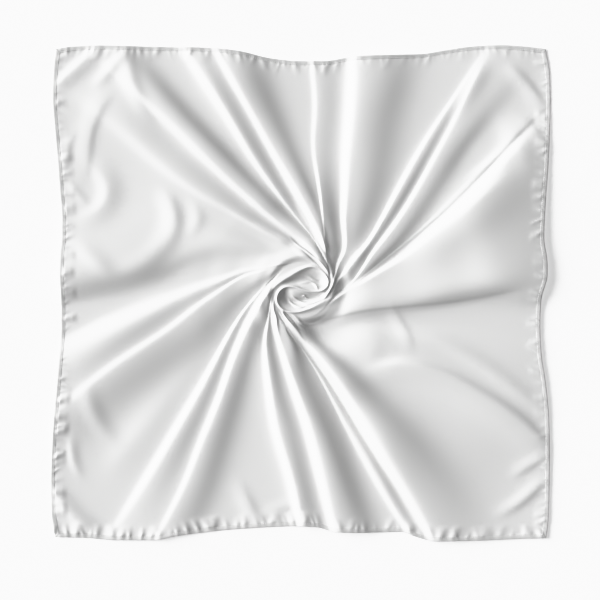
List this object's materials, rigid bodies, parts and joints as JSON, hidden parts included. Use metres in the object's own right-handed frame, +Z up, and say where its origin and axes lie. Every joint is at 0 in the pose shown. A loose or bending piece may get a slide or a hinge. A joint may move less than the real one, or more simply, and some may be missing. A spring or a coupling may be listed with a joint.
{
  "type": "square scarf",
  "caption": "Square satin scarf laid flat, its middle pinched into a low twist with folds fanning out to narrow stitched hems.",
  "frame": {"origin": "middle of the laid outline's box, on the surface that the scarf lies on", "axes": "+Z up out of the surface, +X to the scarf's right hand side and +Y to its far side, both along the hems"},
  "size_m": [0.6596, 0.6547, 0.0259],
  "materials": {
    "satin": "white polyester satin, smooth, with a soft bright sheen on the folds and cool grey shade in them",
    "hem": "the same satin turned over twice, slightly puckered by its stitching",
    "thread": "white polyester sewing thread, matte with a faint sheen"
  },
  "bodies": {
    "root": {"spread_panel": "satin", "hem_top": "hem", "hem_left": "hem", "hem_bottom": "hem", "hem_right": "hem", "twist_upper_coil": "satin", "twist_lower_coil": "satin"}
  },
  "joints": []
}
